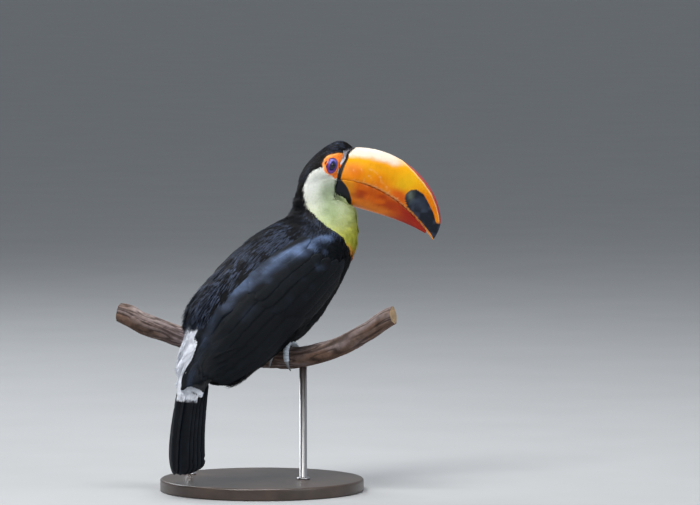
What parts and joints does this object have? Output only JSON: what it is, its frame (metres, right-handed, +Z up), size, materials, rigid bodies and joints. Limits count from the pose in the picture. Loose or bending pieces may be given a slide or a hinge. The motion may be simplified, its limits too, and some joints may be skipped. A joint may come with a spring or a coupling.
{
  "type": "toucan display model",
  "caption": "Life-size still toucan with a large curved bill, gripping a short cut bough held on a flat display stand",
  "frame": {"origin": "centre of the underside of the stand's base", "axes": "+X is the way the bird's body faces, +Y is to the bird's left, +Z is up; the base's underside faces -Z"},
  "size_m": [0.3831, 0.3222, 0.4089],
  "materials": {
    "plumage_black": "short black feathers with a faint blue gloss",
    "wing_feathers": "folded wing feathers, black with a slate-blue sheen",
    "plumage_bib": "fine short feathers, white on the cheek running to yellow at the foot of the bib",
    "plumage_white": "soft white feathers over the root of the tail",
    "plumage_red": "soft red feathers under the root of the tail",
    "bill_upper": "glossy horn, yellow-orange with a black band at its root, a red ridge and a black oval at its tip",
    "bill_lower": "glossy horn, orange running to dark red at its tip, black at its root",
    "eye": "wet dark eye",
    "foot_skin": "blue-grey scaled skin",
    "claw": "dark horn",
    "bark": "weathered grooved bark with bare sawn ends",
    "stand_wood": "dark stained wood with a satin lacquer",
    "stand_steel": "satin steel rod"
  },
  "bodies": {
    "root": {"head": "plumage_black", "neck": "plumage_bib", "trunk": "plumage_black", "rump": "plumage_white", "undertail": "plumage_red", "bill_upper": "bill_upper", "bill_lower": "bill_lower", "tail": "plumage_black", "eye_right": "eye", "wing_right": "wing_feathers", "tarsus_right": "foot_skin", "foot_right": "foot_skin", "claw_right_1": "claw", "claw_right_2": "claw", "claw_right_3": "claw", "claw_right_4": "claw", "eye_left": "eye", "wing_left": "wing_feathers", "tarsus_left": "foot_skin", "foot_left": "foot_skin", "claw_left_1": "claw", "claw_left_2": "claw", "claw_left_3": "claw", "claw_left_4": "claw", "perch": "bark", "stand_base": "stand_wood", "stand_rod_1": "stand_steel", "stand_rod_2": "stand_steel"}
  },
  "joints": []
}
